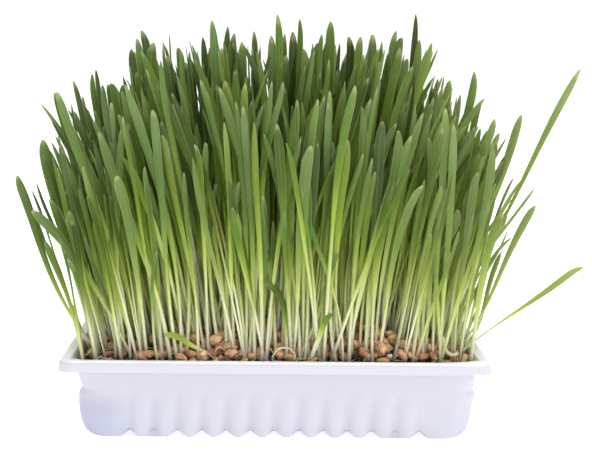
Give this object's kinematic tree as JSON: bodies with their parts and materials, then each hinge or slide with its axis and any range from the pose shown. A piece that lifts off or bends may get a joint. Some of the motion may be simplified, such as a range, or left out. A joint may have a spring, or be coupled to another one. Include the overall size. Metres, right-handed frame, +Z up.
{
  "type": "wheatgrass tray",
  "caption": "Shallow fluted white plastic tray of soil with a dense stand of young wheatgrass fanning out above the rim.",
  "frame": {"origin": "middle of the flat floor's underside, on the surface that the tray stands on", "axes": "+X along the tray's length, to the right as seen from the front; +Y to the back; +Z up"},
  "size_m": [0.258, 0.158, 0.186],
  "materials": {
    "tray_plastic": "satin",
    "soil": "matte",
    "grass": "matte",
    "leaf": "satin",
    "pale_leaf": "satin",
    "grain": "satin",
    "perlite": "matte",
    "root": "matte"
  },
  "bodies": {
    "root": {"tray": "tray_plastic", "soil": "soil", "tuft_1_1": "grass", "tuft_1_2": "grass", "tuft_1_3": "grass", "tuft_1_4": "grass", "tuft_1_5": "grass", "tuft_1_6": "grass", "tuft_2_1": "grass", "tuft_2_2": "grass", "tuft_2_3": "grass", "tuft_2_4": "grass", "tuft_2_5": "grass", "tuft_2_6": "grass", "tuft_3_1": "grass", "tuft_3_2": "grass", "tuft_3_3": "grass", "tuft_3_4": "grass", "tuft_3_5": "grass", "tuft_3_6": "grass", "tuft_4_1": "grass", "tuft_4_2": "grass", "tuft_4_3": "grass", "tuft_4_4": "grass", "tuft_4_5": "grass", "tuft_4_6": "grass", "blade_left_low": "leaf", "blade_left_front": "leaf", "blade_left_high": "leaf", "blade_right_long": "leaf", "blade_right_mid": "leaf", "blade_right_curved": "leaf", "blade_right_low": "leaf", "blade_right_high": "leaf", "blade_front_left": "leaf", "blade_front_mid": "leaf", "blade_front_right": "leaf", "blade_back_left": "leaf", "blade_back_mid": "leaf", "blade_back_right": "leaf", "fallen_leaf": "pale_leaf", "grain_1": "grain", "grain_2": "grain", "grain_3": "grain", "grain_4": "grain", "grain_5": "grain", "grain_6": "grain", "grain_7": "grain", "grain_8": "grain", "grain_9": "grain", "grain_10": "grain", "grain_11": "grain", "grain_12": "grain", "perlite_1": "perlite", "perlite_2": "perlite", "perlite_3": "perlite", "perlite_4": "perlite", "root_clod": "root"}
  },
  "joints": []
}
